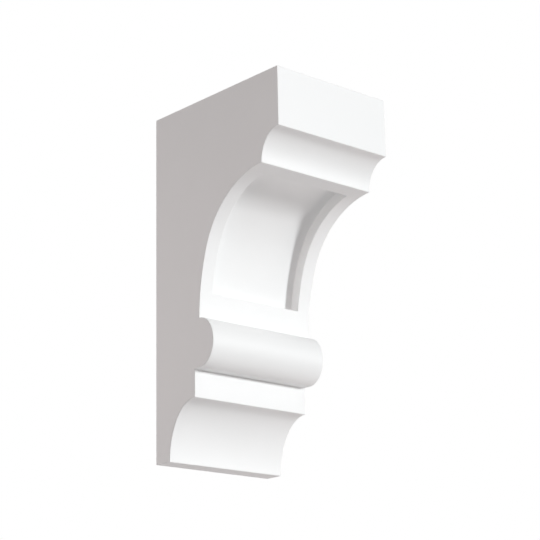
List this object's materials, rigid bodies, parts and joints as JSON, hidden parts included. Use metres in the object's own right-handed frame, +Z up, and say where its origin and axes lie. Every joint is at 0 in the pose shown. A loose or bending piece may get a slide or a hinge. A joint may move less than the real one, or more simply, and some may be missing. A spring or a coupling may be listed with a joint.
{
  "type": "decorative bracket",
  "caption": "Moulded corbel bracket: abacus, small cove, concave face with a sunken panel, torus, fillet and lower cove, fixed by its flat back.",
  "frame": {"origin": "middle of the flat back face, which is fixed to the wall", "axes": "+Y out of the back face into the wall, so the front faces -Y; +Z up; X across the width"},
  "size_m": [0.1436, 0.1865, 0.356],
  "materials": {
    "white_primer": "satin"
  },
  "bodies": {
    "root": {"bracket_body": "white_primer"}
  },
  "joints": []
}
